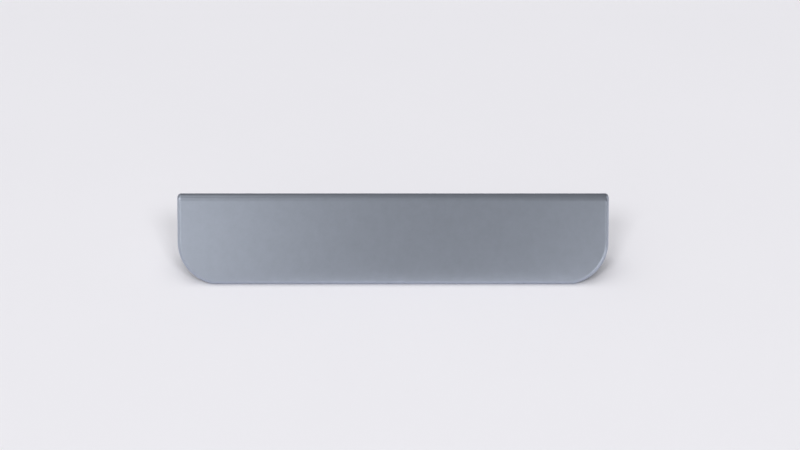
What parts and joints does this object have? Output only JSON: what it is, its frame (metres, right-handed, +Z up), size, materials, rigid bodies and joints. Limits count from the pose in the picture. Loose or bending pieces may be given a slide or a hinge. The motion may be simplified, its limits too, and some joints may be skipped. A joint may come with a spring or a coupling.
{
  "type": "furniture handle",
  "caption": "Edge pull for a drawer or door: a flat lip with rounded lower corners slopes out from a tight nose, and a flat leg on the board takes screws from behind.",
  "frame": {"origin": "on the mounting face, midway between the two screw holes", "axes": "+X along the handle, +Y square into the board that the handle is screwed to, +Z up towards the nose"},
  "size_m": [0.15, 0.0175, 0.0279],
  "materials": {
    "satin_chrome": "satin"
  },
  "bodies": {
    "root": {"handle": "satin_chrome"}
  },
  "joints": []
}
